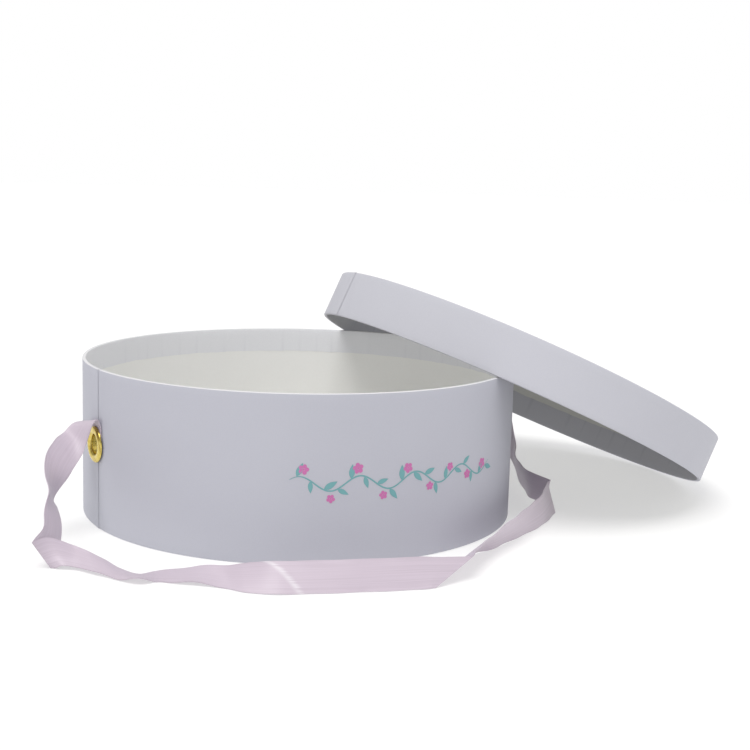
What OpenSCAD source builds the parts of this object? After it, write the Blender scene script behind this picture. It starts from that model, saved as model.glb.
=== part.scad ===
// Round paperboard hat box: a paper-wrapped body, a lid that leans on its rim, and a satin ribbon
// handle that is pinned under a gilt eyelet at each end.
// Origin: centre of the body's underside. +Z is up, X runs through the two eyelets, -Y is the front.

/* [Body] */
// Outside diameter of the body, paper included
body_d = 300; // [260:1:360]
// Height of the body, paper included
body_h = 106; // [90:1:130]
// Thickness of the greyboard in the body's wall
body_board_t = 2; // [1.5:0.1:3]
// Thickness of the greyboard base disc
base_board_t = 2; // [1.5:0.1:3]
// Gap between the base disc and the wall around it
base_fit = 0.1; // [0.05:0.05:0.5]

/* [Paper] */
// Thickness of the outer wrap paper
wrap_t = 0.2; // [0.15:0.05:0.4]
// Thickness of the lining paper
liner_t = 0.2; // [0.15:0.05:0.4]
// Depth that the wrap is turned over the rim of the body or the lid
turn_in = 18; // [10:1:25]
// Depth that the wrap is turned onto the underside of the body and the top of the lid
turn_over = 15; // [8:1:25]
// Margin of wrap left showing round the underside and top papers
cover_margin = 2; // [1:0.5:6]
// Width of the slit where the ends of a wrapped strip meet
seam_gap = 0.2; // [0.1:0.05:0.5]
// Width of the kraft tape over a board's butt joint
tape_w = 40; // [20:1:60]
// Thickness of the kraft tape, pressed flush into the board
tape_t = 0.2; // [0.1:0.05:0.4]

/* [Lid] */
// Height of the lid, paper included
lid_h = 34; // [28:0.5:45]
// Gap all round between the body and the lining of the lid
lid_clearance = 2.3; // [1:0.1:4]
// Thickness of the greyboard in the lid's wall
lid_board_t = 2; // [1.5:0.1:3]
// Thickness of the greyboard in the lid's top
lid_top_t = 2; // [1.5:0.1:3]
// Gap between the body's rim and the underside of the leaning lid's top
lean_gap = 5.4; // [3:0.1:10]
// Direction in which the lid leans, round from the right eyelet
lean_azimuth = -5.6; // [-20:0.1:10]
// Clearance where the leaning lid touches the rim and the ground
touch_gap = 0.3; // [0.1:0.1:1]

/* [Eyelets] */
// Diameter of the eyelet's domed flange
eyelet_d = 24; // [20:0.5:30]
// Bore through the eyelet
eyelet_bore = 13; // [8:0.5:14]
// Height of the eyelets above the ground
eyelet_z = 56; // [40:1:70]
// Wall of the eyelet's barrel
eyelet_wall = 0.6; // [0.4:0.1:1]
// Height of the flange's dome above its seat
dome_h = 1.8; // [1:0.1:3]
// Diameter of the washer inside the body
washer_d = 22; // [18:0.5:28]
// Thickness of the washer
washer_t = 0.5; // [0.3:0.1:1]
// Clearance of the holes round the eyelet's barrel
hole_fit = 0.2; // [0.1:0.05:0.5]

/* [Ribbon handle] */
// Width of the satin ribbon
ribbon_w = 20; // [15:1:25]
// Thickness of the ribbon
ribbon_t = 0.4; // [0.3:0.1:0.8]
// Free gap on each side of the ribbon's end under the flange
tab_gap = 0.2; // [0.1:0.05:0.4]

/* [Hidden] */
$fn = 180;

// Body, from the outside in and from the ground up
body_r = body_d / 2;
body_board_r = body_r - wrap_t;
body_lining_r = body_board_r - body_board_t;
body_inner_r = body_lining_r - liner_t;
base_wrap_z = liner_t;
base_board_z = base_wrap_z + wrap_t;
base_liner_z = base_board_z + base_board_t;
floor_z = base_liner_z + liner_t;
body_board_top = body_h - wrap_t;
paper_gap = 0.1;

// Lid, in its own frame: ring plane at z = 0, top upwards
lid_inner_r = body_r + lid_clearance;
lid_lining_r = lid_inner_r + liner_t;
lid_board_r = lid_lining_r + lid_board_t;
lid_r = lid_board_r + wrap_t;
lid_top_z = lid_h - liner_t - wrap_t;
lid_ceiling_z = lid_top_z - lid_top_t;
lid_depth = lid_ceiling_z - liner_t;

// Lean of the lid: its inner edge touches the body's outer rim at two points, its outer edge the ground
rim_rise = body_h + touch_gap;
reach = lid_depth - lean_gap;
reach_ratio = reach / body_h;
lean_mid = body_r - reach_ratio * lid_r;
lean_k = 1 - pow(reach_ratio, 2);
rim_excess = pow(lid_inner_r, 2) - pow(body_r, 2);
touch_x = (lean_mid - sqrt(pow(lean_mid, 2)
          - lean_k * (pow(lean_mid, 2) - pow(reach_ratio, 2) * rim_excess))) / lean_k;
touch_y2 = pow(body_r, 2) - pow(touch_x, 2);
touch_up = sqrt(pow(lid_inner_r, 2) - touch_y2);
lean = asin((rim_rise - touch_gap) / (lid_r + touch_up));
lid_x = touch_x + touch_up * cos(lean);
lid_z = lid_r * sin(lean) + touch_gap;

// Round joints of the strips, as azimuths: the wrap's seam runs behind the left eyelet
wrap_seam_azimuth = 180;
board_joint_azimuth = 90;
lid_seam_azimuth = 173;
lid_joint_azimuth = 90;

// Eyelets and the ribbon's ends under their flanges
barrel_r = eyelet_bore / 2 + eyelet_wall;
wall_hole_d = 2 * (barrel_r + hole_fit);
tab_x = body_r + tab_gap + ribbon_t / 2;
flange_seat_x = body_r + 2 * tab_gap + ribbon_t;
washer_seat_x = sqrt(pow(body_inner_r, 2) - pow(washer_d / 2, 2)) - paper_gap;
curl_r = barrel_r + 1.6;
curl_h = 0.9;
tab_end = eyelet_d / 2 + 0.5;

// Route of the ribbon between its ends: centre, then the vector across it from edge to edge
ribbon_lift = ribbon_t / 2 + 0.1;
ribbon_route_w = 20;
ribbon_route = [
    [-154, 0, 72, -2, 19, -4],
    [-159, 1, 69, -5, 19, -1],
    [-164, 1, 61, -9, 17, 4],
    [-172, -6, 55, -13, 8, 12],
    [-179, -12, 49, -15, 4, 12],
    [-187, -24, 41, -11, -6, 15],
    [-191, -32, 34, -8, -9, 16],
    [-193, -39, 29, -9, -9, 15],
    [-195, -47, 22, -13, -7, 13],
    [-199, -56, 14, -17, 1, 10],
    [-210, -71, 8, -10, 2, 16],
    [-201, -70, 9, -2, 14, 14],
    [-191, -74, 6, 4, 18, 8],
    [-185, -85, 5, 5, 18, 6],
    [-179, -94, 3, 6, 19, 4],
    [-174, -103, 1, 7, 19, 0],
    [-167, -115, 2, 7, 18, -3],
    [-155, -115, 0, 7, 19, 0],
    [-146, -124, 2, 8, 18, 2],
    [-136, -133, 4, 8, 18, 4],
    [-126, -144, 4, 6, 17, 8],
    [-119, -156, 6, 6, 16, 12],
    [-107, -166, 6, 7, 14, 12],
    [-93, -173, 6, 7, 14, 12],
    [-66, -184, 7, 7, 13, 14],
    [-37, -194, 7, 8, 13, 14],
    [-22, -200, 7, 10, 11, 14],
    [-6, -204, 7, 29, 4, 14],
    [12, -194, 7, 8, -12, 14],
    [38, -177, 8, 6, -10, 16],
    [59, -161, 9, 4, -8, 18],
    [79, -151, 10, 3, -5, 19],
    [98, -140, 10, 1, -2, 20],
    [123, -124, 10, -1, 3, 20],
    [149, -102, 11, -2, 8, 21],
    [151, -92, 13, 2, -8, 18],
    [153, -74, 13, -2, -7, 19],
    [159, -57, 14, -6, -6, 18],
    [165, -42, 17, -8, -9, 16],
    [170, -31, 22, -9, -13, 12],
    [174, -23, 29, -6, -17, 8],
    [177, -16, 38, -4, -19, 5],
    [177, -11, 48, -3, -19, 4],
    [173, -6, 58, -2, -20, 2],
    [167, -2, 66, 0, -20, 0],
    [160, 0, 71, 0, -20, 0],
    [154, 0, 72, 0, -20, 0]];

paper_white = [0.86, 0.86, 0.9];
cream = [0.86, 0.86, 0.83];
greyboard = [0.55, 0.53, 0.5];
kraft = [0.72, 0.56, 0.38];
gilt = [0.85, 0.66, 0.22];
satin_pink = [0.88, 0.76, 0.86];

// A tube between two radii and two heights
module tube(r_out, r_in, z0, z1) {
    rotate_extrude() translate([r_in, z0]) square([r_out - r_in, z1 - z0]);
}

// A disc between two heights
module disc(r, z0, z1) {
    translate([0, 0, z0]) cylinder(r = r, h = z1 - z0);
}

// The slit where a strip's ends meet, to be cut out at an azimuth
module slit(azimuth, r, z0, z1, width, depth) {
    rotate(azimuth) translate([r - depth, -width / 2, z0]) cube([2 * depth, width, z1 - z0]);
}

// The kraft tape over a board's joint, on the board's outer face; extra widens it as a cutter
module tape(azimuth, r, z0, z1, extra = 0) {
    half = atan2(tape_w / 2, r) + extra;
    rotate(azimuth - half)
        rotate_extrude(angle = 2 * half) translate([r - tape_t, z0]) square([tape_t + extra, z1 - z0]);
}

// Holes for both eyelets through the body's wall
module eyelet_holes() {
    translate([0, 0, eyelet_z]) rotate([0, 90, 0]) cylinder(d = wall_hole_d, h = 2 * body_d, center = true);
}

// Places the lid's own frame where the lid leans
module lean_lid() {
    rotate(lean_azimuth) translate([lid_x, 0, lid_z]) rotate([0, lean, 0]) children();
}

module body_wall_board() {
    color(greyboard) difference() {
        tube(body_board_r, body_lining_r, base_board_z, body_board_top);
        eyelet_holes();
        slit(board_joint_azimuth, body_board_r, 0, body_h, seam_gap, 2 * body_board_t);
        tape(board_joint_azimuth, body_board_r, 0, body_h, paper_gap);
    }
}

module body_base_board() {
    color(greyboard) disc(body_lining_r - base_fit, base_board_z, base_liner_z);
}

module body_joint_tape() {
    color(kraft) tape(board_joint_azimuth, body_board_r, base_board_z, body_board_top);
}

// One strip of paper: under the base, up the wall, over the rim and down inside
module body_wrap() {
    color(paper_white) difference() {
        union() {
            tube(body_r, body_board_r, base_wrap_z, body_h);
            tube(body_r, body_inner_r, body_board_top, body_h);
            tube(body_lining_r, body_inner_r, body_h - turn_in, body_h);
            tube(body_r, body_r - turn_over, base_wrap_z, base_board_z);
        }
        eyelet_holes();
        slit(wrap_seam_azimuth, body_r, 0, body_board_top, seam_gap, body_board_t);
    }
}

// Lining paper round the inside, up to the wrap that is turned over the rim
module body_wall_liner() {
    color(cream) difference() {
        tube(body_lining_r, body_inner_r, base_liner_z, body_h - turn_in - paper_gap);
        eyelet_holes();
    }
}

module body_base_liner() {
    color(cream) disc(body_inner_r - paper_gap, base_liner_z, floor_z);
}

module body_base_cover() {
    color(paper_white) disc(body_r - cover_margin, 0, liner_t);
}

module lid_wall_board() {
    color(greyboard) lean_lid() difference() {
        tube(lid_board_r, lid_lining_r, wrap_t, lid_top_z);
        slit(lid_joint_azimuth, lid_board_r, 0, lid_h, seam_gap, 2 * lid_board_t);
        tape(lid_joint_azimuth, lid_board_r, 0, lid_h, paper_gap);
    }
}

module lid_top_board() {
    color(greyboard) lean_lid() disc(lid_lining_r - base_fit, lid_ceiling_z, lid_top_z);
}

module lid_joint_tape() {
    color(kraft) lean_lid() tape(lid_joint_azimuth, lid_board_r, wrap_t, lid_top_z);
}

// One strip of paper: onto the top, down the wall, round the lower edge and up inside
module lid_side_wrap() {
    color(paper_white) lean_lid() difference() {
        union() {
            tube(lid_r, lid_board_r, 0, lid_h - liner_t);
            tube(lid_r, lid_inner_r, 0, wrap_t);
            tube(lid_lining_r, lid_inner_r, 0, turn_in);
            tube(lid_r, lid_r - turn_over, lid_top_z, lid_h - liner_t);
        }
        slit(lid_seam_azimuth, lid_r, 0, lid_h, seam_gap, lid_board_t);
    }
}

module lid_top_paper() {
    color(paper_white) lean_lid() disc(lid_r - cover_margin, lid_h - liner_t, lid_h);
}

module lid_wall_liner() {
    color(cream) lean_lid() tube(lid_lining_r, lid_inner_r, turn_in + paper_gap, lid_ceiling_z);
}

module lid_top_liner() {
    color(cream) lean_lid() disc(lid_inner_r - paper_gap, lid_depth, lid_ceiling_z);
}

// An eyelet along +X: domed flange outside, barrel through the wall, curl over the washer inside
module eyelet() {
    curl_x = washer_seat_x - washer_t;
    translate([0, 0, eyelet_z]) rotate([0, 90, 0]) rotate_extrude() {
        translate([eyelet_bore / 2, curl_x - curl_h])
            square([eyelet_wall, flange_seat_x + dome_h / 2 - curl_x + curl_h]);
        difference() {
            translate([(eyelet_bore + eyelet_d) / 4, flange_seat_x])
                resize([(eyelet_d - eyelet_bore) / 2, 2 * dome_h]) circle(r = dome_h, $fn = 48);
            translate([0, flange_seat_x - 2 * dome_h]) square([eyelet_d, 2 * dome_h]);
        }
        translate([eyelet_bore / 2, curl_x - curl_h]) square([curl_r - eyelet_bore / 2, curl_h]);
    }
}

// A washer along +X, on the inside of the body's wall
module washer() {
    translate([washer_seat_x - washer_t, 0, eyelet_z]) rotate([0, 90, 0]) difference() {
        cylinder(d = washer_d, h = washer_t);
        translate([0, 0, -1]) cylinder(d = wall_hole_d, h = washer_t + 2);
    }
}

module left_eyelet() {
    color(gilt) rotate(180) eyelet();
}

module left_washer() {
    color(gilt) rotate(180) washer();
}

module right_eyelet() {
    color(gilt) eyelet();
}

module right_washer() {
    color(gilt) washer();
}

// The first stations of the strip above a ribbon end; side is -1 on the left, 1 on the right
function strip_start(side) = [
    [side * tab_x, 0, eyelet_z + tab_end, 0, -side * ribbon_w, 0],
    [side * (tab_x + 0.6), 0, eyelet_z + eyelet_d / 2 + 2, 0, -side * ribbon_w, 0]];

function reversed(list) = [for (i = [len(list) - 1 : -1 : 0]) list[i]];
function centre(s) = [s[0], s[1], s[2]];
function across(s) = [s[3], s[4], s[5]];
function unit(v) = v / norm(v);

stations = concat(
    strip_start(-1),
    [for (s = ribbon_route)
        concat(centre(s) + [0, 0, ribbon_lift], across(s) * ribbon_w / ribbon_route_w)],
    reversed(strip_start(1)));

// Direction along the ribbon at a station
function along(i) =
    unit(centre(stations[min(i + 1, len(stations) - 1)]) - centre(stations[max(i - 1, 0)]));

// The four corners of the ribbon's section at a station
function corners(i) =
    let (c = centre(stations[i]), a = across(stations[i]) / 2,
         n = unit(cross(along(i), a)) * ribbon_t / 2)
    [c - a - n, c + a - n, c + a + n, c - a + n];

// A ribbon end under its flange, along +X: round below, square above, with a hole for the barrel
module ribbon_end() {
    translate([tab_x, 0, eyelet_z]) rotate([0, 90, 0])
        linear_extrude(height = ribbon_t, center = true) difference() {
            union() {
                circle(r = ribbon_w / 2);
                translate([-tab_end, -ribbon_w / 2]) square([tab_end, ribbon_w]);
            }
            circle(d = wall_hole_d);
        }
}

// The whole ribbon: one creased and twisted strip between its two ends, its broad faces split alike
module ribbon_handle() {
    last = len(stations) - 1;
    color(satin_pink) {
        rotate(180) ribbon_end();
        ribbon_end();
        polyhedron(
            points = [for (i = [0 : last]) for (p = corners(i)) p],
            faces = concat(
                [[0, 1, 2, 3]],
                [for (i = [0 : last - 1])
                    let (p = 4 * i, q = p + 4)
                    each [[p, q, p + 1], [p + 1, q, q + 1], [p + 1, q + 1, p + 2], [p + 2, q + 1, q + 2],
                          [p + 2, q + 2, q + 3], [p + 2, q + 3, p + 3], [p + 3, q + 3, p], [p, q + 3, q]]],
                [[4 * last + 3, 4 * last + 2, 4 * last + 1, 4 * last]]));
    }
}

body_wall_board();
body_base_board();
body_joint_tape();
body_wrap();
body_wall_liner();
body_base_liner();
body_base_cover();
lid_wall_board();
lid_top_board();
lid_joint_tape();
lid_side_wrap();
lid_top_paper();
lid_wall_liner();
lid_top_liner();
left_eyelet();
left_washer();
right_eyelet();
right_washer();
ribbon_handle();
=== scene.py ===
import math

import bmesh
import bpy
from mathutils import Matrix, Vector


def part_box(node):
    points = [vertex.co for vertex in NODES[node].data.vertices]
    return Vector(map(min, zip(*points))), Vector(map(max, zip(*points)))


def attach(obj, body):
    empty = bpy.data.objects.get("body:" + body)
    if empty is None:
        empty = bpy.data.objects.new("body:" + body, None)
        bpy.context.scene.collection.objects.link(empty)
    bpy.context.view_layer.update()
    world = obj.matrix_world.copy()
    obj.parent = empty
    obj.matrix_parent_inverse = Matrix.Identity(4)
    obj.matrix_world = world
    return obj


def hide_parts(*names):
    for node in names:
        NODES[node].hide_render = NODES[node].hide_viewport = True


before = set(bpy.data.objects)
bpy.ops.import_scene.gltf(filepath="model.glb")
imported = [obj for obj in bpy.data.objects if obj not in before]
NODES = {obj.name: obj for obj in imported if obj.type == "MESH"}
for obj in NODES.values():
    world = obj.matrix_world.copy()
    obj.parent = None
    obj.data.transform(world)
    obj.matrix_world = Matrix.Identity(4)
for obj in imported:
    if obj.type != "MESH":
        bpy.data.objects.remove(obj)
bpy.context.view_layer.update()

MM = 0.001

# Sheet thicknesses and small clearances, in metres
PAPER = 0.2 * MM
LINING_SHEET = 0.08 * MM
GILT_SHEET = 0.45 * MM
RIBBON_SHEET = 0.3 * MM
EDGE_BEND = 0.6 * MM
FOOT_CLEAR = 0.04 * MM
INK_LIFT = 0.1 * MM
INK_SHEET = 0.03 * MM

# Directions round the rings, in degrees: the body wrap's lap is behind the left eyelet
BODY_LAP = 180
LID_LAP = 173
LINING_LAP = -120
PRINT_AT = -92


# ---------------------------------------------------------------- camera, lights and floor

def add_camera():
    """A low three-quarter view from the left of the front."""
    eye = Vector((-0.45032, -0.82223, 0.24759))
    heading, dip, roll = (math.radians(a) for a in (31.938, -9.317, 1.683))
    ahead = Vector((math.sin(heading) * math.cos(dip), math.cos(heading) * math.cos(dip), math.sin(dip)))
    level = Vector((math.cos(heading), -math.sin(heading), 0))
    upright = level.cross(ahead)
    right = level * math.cos(roll) + upright * math.sin(roll)
    up = upright * math.cos(roll) - level * math.sin(roll)
    data = bpy.data.cameras.new("camera")
    data.lens = 64.56
    data.sensor_width = 36
    data.clip_start = 0.01
    camera = bpy.data.objects.new("camera", data)
    camera.matrix_world = Matrix.Translation(eye) @ Matrix((right, up, -ahead)).transposed().to_4x4()
    bpy.context.scene.collection.objects.link(camera)
    bpy.context.scene.camera = camera


def add_sun(name, place, strength, softness):
    """A broad, soft light, aimed from a place at the middle of the floor."""
    data = bpy.data.lights.new(name, "SUN")
    data.energy = strength
    data.angle = math.radians(softness)
    data.color = (1, 0.99, 0.97)
    sun = bpy.data.objects.new(name, data)
    sun.matrix_world = (-Vector(place)).to_track_quat("-Z", "Y").to_matrix().to_4x4()
    bpy.context.scene.collection.objects.link(sun)


def add_surroundings():
    """White at the horizon, and dimmer above it, so that most of the light comes from overhead."""
    world = bpy.data.worlds.new("studio")
    world.use_nodes = True
    bench = Bench(world.node_tree)
    height = bench.put("ShaderNodeSeparateXYZ", {0: bench.put("ShaderNodeTexCoord")}, out=2)
    grey = bench.ramp(height, 0.13, 0.26, 1.0, 0.42)
    backdrop = world.node_tree.nodes["Background"]
    world.node_tree.links.new(grey, backdrop.inputs["Color"])
    backdrop.inputs["Strength"].default_value = 1.0
    bpy.context.scene.world = world
    bpy.context.scene.view_settings.view_transform = "Standard"


def add_floor():
    """A white floor that glows a little, so that it runs into the white at the horizon."""
    bpy.ops.mesh.primitive_circle_add(vertices=64, radius=8, fill_type="NGON")
    floor = bpy.context.object
    floor.name = "floor"
    white = plain("floor_white", (0.5, 0.5, 0.5), roughness=0.9, specular=0.1)
    shader = white.node_tree.nodes["Principled BSDF"]
    shader.inputs["Emission Color"].default_value = (1, 1, 1, 1)
    shader.inputs["Emission Strength"].default_value = 0.47
    floor.data.materials.append(white)


# ---------------------------------------------------------------- node trees

class Bench:
    """Adds nodes to one tree. An input is given as a socket to link or as a constant."""

    def __init__(self, tree):
        self.tree = tree

    def put(self, kind, given=None, out=0, **settings):
        node = self.tree.nodes.new(kind)
        for key, value in settings.items():
            setattr(node, key, value)
        for key, value in (given or {}).items():
            if isinstance(value, bpy.types.NodeSocket):
                self.tree.links.new(value, node.inputs[key])
            else:
                node.inputs[key].default_value = value
        return node.outputs[out]

    def calc(self, operation, *terms):
        return self.put("ShaderNodeMath", dict(enumerate(terms)), operation=operation)

    def vcalc(self, operation, *terms):
        return self.put("ShaderNodeVectorMath", dict(enumerate(terms)), operation=operation)

    def scaled(self, vector, factor):
        return self.put("ShaderNodeVectorMath", {0: vector, "Scale": factor}, operation="SCALE")

    def ramp(self, value, low, high, from_value=0.0, to_value=1.0):
        return self.put("ShaderNodeMapRange", {0: value, 1: low, 2: high, 3: from_value, 4: to_value},
                        interpolation_type="SMOOTHSTEP")


def recipe(name, inputs):
    """An empty Geometry Nodes tree with named inputs; returns its bench, inputs by name and output node."""
    tree = bpy.data.node_groups.new(name, "GeometryNodeTree")
    tree.interface.new_socket("Geometry", in_out="INPUT", socket_type="NodeSocketGeometry")
    for label, (kind, value) in inputs.items():
        socket = tree.interface.new_socket(label, in_out="INPUT", socket_type="NodeSocket" + kind)
        if value is not None:
            socket.default_value = value
    tree.interface.new_socket("Geometry", in_out="OUTPUT", socket_type="NodeSocketGeometry")
    entry = tree.nodes.new("NodeGroupInput")
    leave = tree.nodes.new("NodeGroupOutput")
    return Bench(tree), {s.name: s for s in entry.outputs if s.name}, leave


def rolled_sheet_recipe():
    """A sheet of even thickness, shaped by a path of (radius, height) points that is turned round Z.

    The path's points carry the side that shows (outward), the way along it (lengthways), and in
    weights how much they pucker (x), how ragged their cut is (y) and how slack they are (z)."""
    bench, given, leave = recipe("Rolled sheet", {
        "Start": ("Float", 0.0), "Sweep": ("Float", 2 * math.pi), "Columns": ("Int", 360),
        "Thickness": ("Float", PAPER), "Open": ("Float", 1.0), "Lap": ("Float", 0.0),
        "Pleats": ("Float", 0.0), "Pleat height": ("Float", 0.0), "Pleat width": ("Float", 0.1),
        "Raggedness": ("Float", 0.0), "Slackness": ("Float", 0.0), "Seed": ("Float", 0.0),
        "Hole radius": ("Float", 0.0), "Hole height": ("Float", 0.0), "Material": ("Material", None)})
    path = given["Geometry"]
    count = bench.put("GeometryNodeAttributeDomainSize", {0: path})
    rows = bench.calc("MULTIPLY", count, 2.0)
    grid = bench.put("GeometryNodeMeshGrid", {
        "Size X": 1.0, "Size Y": 1.0, "Vertices X": bench.calc("ADD", given["Columns"], 1.0),
        "Vertices Y": bench.calc("ADD", rows, 1.0)})
    where = bench.put("GeometryNodeInputPosition")
    split = bench.put("ShaderNodeSeparateXYZ", {0: where}).node
    turn = bench.calc("ADD", split.outputs[0], 0.5)
    row = bench.calc("MODULO", bench.calc("ROUND", bench.calc("MULTIPLY", bench.calc(
        "ADD", split.outputs[1], 0.5), rows)), rows)
    mate = bench.calc("SUBTRACT", bench.calc("SUBTRACT", rows, 1.0), row)
    station = bench.calc("MINIMUM", row, mate)
    almost_half = 0.49999
    end = bench.calc("GREATER_THAN", bench.calc("ABSOLUTE", split.outputs[0]), almost_half)
    pinch = bench.calc("MULTIPLY", end, given["Open"])
    back = bench.calc("MULTIPLY", bench.calc("GREATER_THAN", row, bench.calc("ADD", mate, 0.1)),
                      bench.calc("SUBTRACT", 1.0, pinch))

    def at_station(value):
        return bench.put("GeometryNodeSampleIndex", {"Geometry": path, "Value": value, "Index": station},
                         data_type="FLOAT_VECTOR", domain="POINT")

    def stored(name):
        return bench.put("GeometryNodeInputNamedAttribute", {"Name": name}, data_type="FLOAT_VECTOR")

    point, outward, lengthways, weights = (
        at_station(v) for v in (bench.put("GeometryNodeInputPosition"), stored("outward"),
                                stored("lengthways"), stored("weights")))
    weight = bench.put("ShaderNodeSeparateXYZ", {0: weights}).node.outputs
    seeded = bench.calc("ADD", bench.calc("MULTIPLY", turn, given["Pleats"]), given["Seed"])
    edge = bench.put("ShaderNodeTexVoronoi", {"W": seeded, "Scale": 1.0, "Randomness": 0.85},
                     voronoi_dimensions="1D", feature="DISTANCE_TO_EDGE")
    strength = bench.put("ShaderNodeTexNoise", {"W": bench.calc("MULTIPLY", seeded, 0.7), "Scale": 1.0},
                         noise_dimensions="1D")
    fold = bench.calc("MULTIPLY", bench.ramp(edge, 0.0, given["Pleat width"], 1.0, 0.0),
                      bench.ramp(strength, 0.3, 0.6))
    fold = bench.calc("MULTIPLY", fold, weight[0])
    uneven = bench.put("ShaderNodeTexNoise", {
        "W": given["Seed"], "Scale": 3.0, "Vector": bench.put("ShaderNodeCombineXYZ", {
            0: bench.calc("COSINE", bench.calc("MULTIPLY", turn, 2 * math.pi)),
            1: bench.calc("SINE", bench.calc("MULTIPLY", turn, 2 * math.pi)),
            2: bench.calc("MULTIPLY", station, 0.02)})}, noise_dimensions="4D")
    ragged = bench.put("ShaderNodeTexNoise", {
        "W": bench.calc("MULTIPLY", bench.calc("ADD", turn, given["Seed"]), 60.0), "Scale": 1.0,
        "Detail": 4.0}, noise_dimensions="1D")
    lap_starts = 0.996
    lapped = bench.ramp(turn, bench.calc("SUBTRACT", lap_starts, given["Lap"]),
                        bench.calc("SUBTRACT", 1.0, given["Lap"]))
    lift = bench.calc("MULTIPLY", fold, given["Pleat height"])
    lift = bench.calc("MULTIPLY_ADD", bench.calc("MULTIPLY", bench.calc("SUBTRACT", uneven, 0.5), weight[2]),
                      given["Slackness"], lift)
    lift = bench.calc("MULTIPLY_ADD", bench.calc("MULTIPLY", lapped, given["Open"]),
                      bench.calc("MULTIPLY", given["Thickness"], 1.1), lift)
    lift = bench.calc("SUBTRACT", lift, bench.calc("MULTIPLY", back, given["Thickness"]))
    shift = bench.calc("MULTIPLY", bench.calc("MULTIPLY", bench.calc("SUBTRACT", ragged, 0.5), weight[1]),
                       given["Raggedness"])
    shaped = bench.vcalc("ADD", bench.vcalc("ADD", point, bench.scaled(outward, lift)),
                         bench.scaled(lengthways, shift))
    flat = bench.put("ShaderNodeSeparateXYZ", {0: shaped}).node.outputs
    angle = bench.calc("MULTIPLY_ADD", turn, given["Sweep"], given["Start"])
    placed = bench.put("ShaderNodeCombineXYZ", {
        0: bench.calc("MULTIPLY", flat[0], bench.calc("COSINE", angle)),
        1: bench.calc("MULTIPLY", flat[0], bench.calc("SINE", angle)), 2: flat[2]})
    marked = bench.put("GeometryNodeStoreNamedAttribute", {"Geometry": grid, "Name": "pleat", "Value": fold},
                       data_type="FLOAT", domain="POINT")
    marked = bench.put("GeometryNodeStoreNamedAttribute", {
        "Geometry": marked, "Name": "turned_in", "Value": weight[0]}, data_type="FLOAT", domain="POINT")
    turned = bench.put("GeometryNodeSetPosition", {"Geometry": marked, "Position": placed})
    joined = bench.put("GeometryNodeMergeByDistance", {"Geometry": turned, "Distance": 0.004 * MM})
    drill = bench.put("GeometryNodeTransform", {
        "Geometry": bench.put("GeometryNodeMeshCylinder", {"Vertices": 48, "Radius": given["Hole radius"],
                                                           "Depth": 1.0}),
        "Translation": bench.put("ShaderNodeCombineXYZ", {2: given["Hole height"]}),
        "Rotation": (0, math.pi / 2, 0)})
    pierced = bench.put("GeometryNodeMeshBoolean", {0: joined, 1: drill}, operation="DIFFERENCE")
    chosen = bench.put("GeometryNodeSwitch", {
        0: bench.calc("GREATER_THAN", given["Hole radius"], 0.0), 1: joined, 2: pierced},
        input_type="GEOMETRY")
    finished = bench.put("GeometryNodeSetMaterial", {
        "Geometry": bench.put("GeometryNodeRealizeInstances", {0: chosen}), "Material": given["Material"]})
    bench.tree.links.new(finished, leave.inputs[0])
    return bench.tree


def grown(thing, tree, sizes):
    """Runs a Geometry Nodes tree on an object and leaves the result as its plain mesh."""
    modifier = thing.modifiers.new(tree.name, "NODES")
    modifier.node_group = tree
    for socket in tree.interface.items_tree:
        if socket.in_out == "INPUT" and socket.name in sizes:
            modifier[socket.identifier] = sizes[socket.name]
    bpy.context.view_layer.update()
    shape = thing.evaluated_get(bpy.context.evaluated_depsgraph_get())
    mesh = bpy.data.meshes.new_from_object(shape)
    thing.modifiers.clear()
    thing.data = mesh
    return thing


# ---------------------------------------------------------------- measures from the frame

def ring(node, place=Matrix()):
    """A node's smallest and largest radius and its height range round the Z axis of a place."""
    back = place.inverted()
    points = [back @ v.co for v in NODES[node].data.vertices]
    radii = [math.hypot(p.x, p.y) for p in points]
    heights = [p.z for p in points]
    return min(radii), max(radii), min(heights), max(heights)


def lid_place():
    """The lid's own frame: the centre of its open edge, with its top upwards."""
    mesh = NODES["lid_top_paper"].data
    largest = max((p for p in mesh.polygons if p.normal.z > 0), key=lambda p: p.area)
    axis = largest.normal.normalized()
    low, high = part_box("lid_top_paper")
    turned = (Matrix.Rotation(math.atan2(axis.y, axis.x), 4, "Z")
              @ Matrix.Rotation(math.acos(axis.z), 4, "Y"))
    middle = Matrix.Translation((low + high) / 2) @ turned
    lowest = ring("lid_side_wrap", middle)[2]
    return middle @ Matrix.Translation((0, 0, lowest))


def eyelet_place(side):
    """An eyelet's own frame: its axis upwards and away from the body, over the body's centre line."""
    low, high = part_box("right_eyelet")
    return (Matrix.Translation((0, 0, (low.z + high.z) / 2))
            @ Matrix.Rotation(0 if side > 0 else math.pi, 4, "Z") @ Matrix.Rotation(math.pi / 2, 4, "Y"))


# ---------------------------------------------------------------- rolled and turned pieces

def rounded(corners, radius, steps=4):
    """A path of (radius, height) points with every inner corner bent to a small radius."""
    path = [Vector(corners[0])]
    for before, corner, after in zip(corners, corners[1:], corners[2:]):
        before, corner, after = Vector(before), Vector(corner), Vector(after)
        a, b = (before - corner).normalized(), (after - corner).normalized()
        centre = corner + (a + b) * radius
        for k in range(steps + 1):
            t = math.pi / 2 * k / steps
            path.append(centre - b * radius * math.cos(t) - a * radius * math.sin(t))
    path.append(Vector(corners[-1]))
    return path


def divided(path, longest):
    """The same path with its long straight stretches split evenly."""
    points = [path[0]]
    for a, b in zip(path, path[1:]):
        parts = max(1, math.ceil((b - a).length / longest))
        points += [a.lerp(b, k / parts) for k in range(1, parts + 1)]
    return points


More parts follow.
